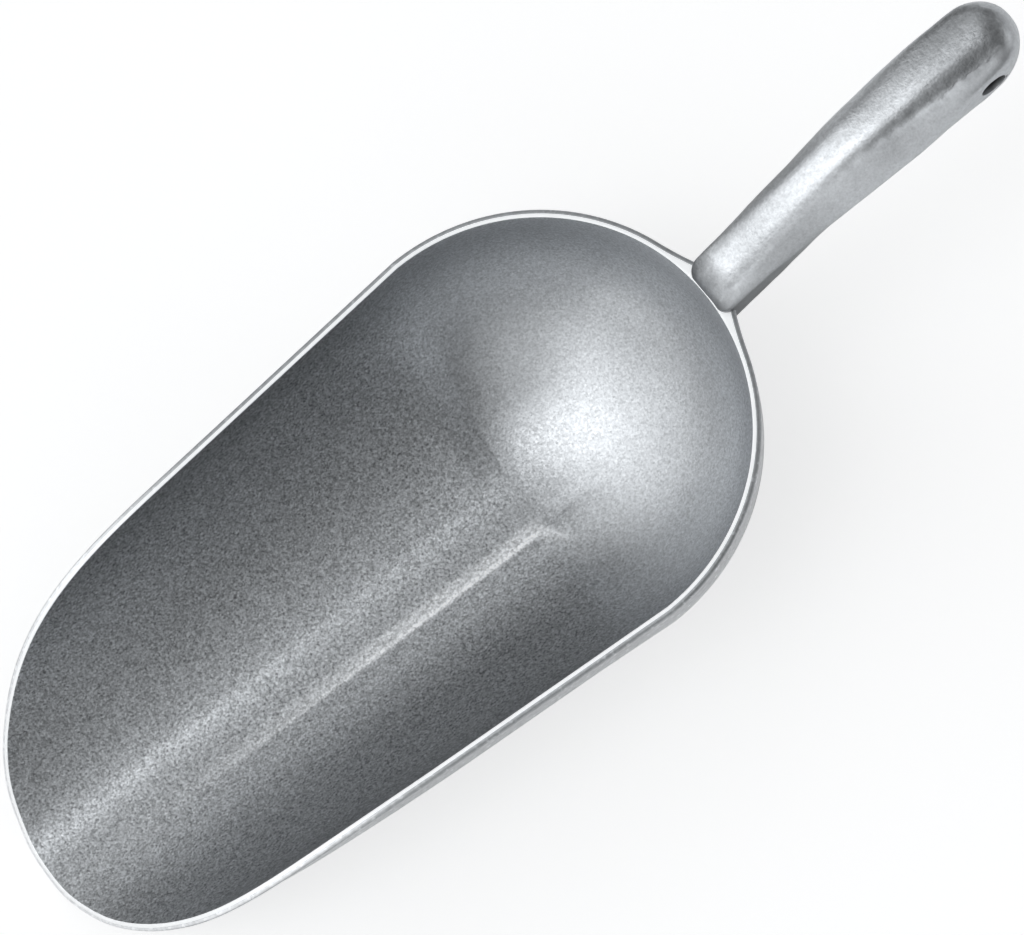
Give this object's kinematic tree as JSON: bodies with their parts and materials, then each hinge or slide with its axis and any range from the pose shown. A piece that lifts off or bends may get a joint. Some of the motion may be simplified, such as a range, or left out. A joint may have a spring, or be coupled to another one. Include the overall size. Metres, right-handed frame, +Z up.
{
  "type": "ice scoop",
  "caption": "Cast aluminium ice scoop with a round-backed trough bowl, ground rim, low lip and a bowed solid handle with a cross hole for hanging",
  "frame": {"origin": "middle of the flat strip under the bowl's floor, on its underside", "axes": "+X runs along the scoop from the lip to the handle, +Y is to its left, +Z is up out of the bowl; the scoop rests on the plane Z = 0"},
  "size_m": [0.3538, 0.1288, 0.1098],
  "materials": {
    "cast_aluminium_bowl": "as cast with a fine bright grain inside, rim ground flat",
    "cast_aluminium_handle": "as cast, coarser grain along the crown and smoother flanks"
  },
  "bodies": {
    "root": {"bowl": "cast_aluminium_bowl", "handle": "cast_aluminium_handle"}
  },
  "joints": []
}
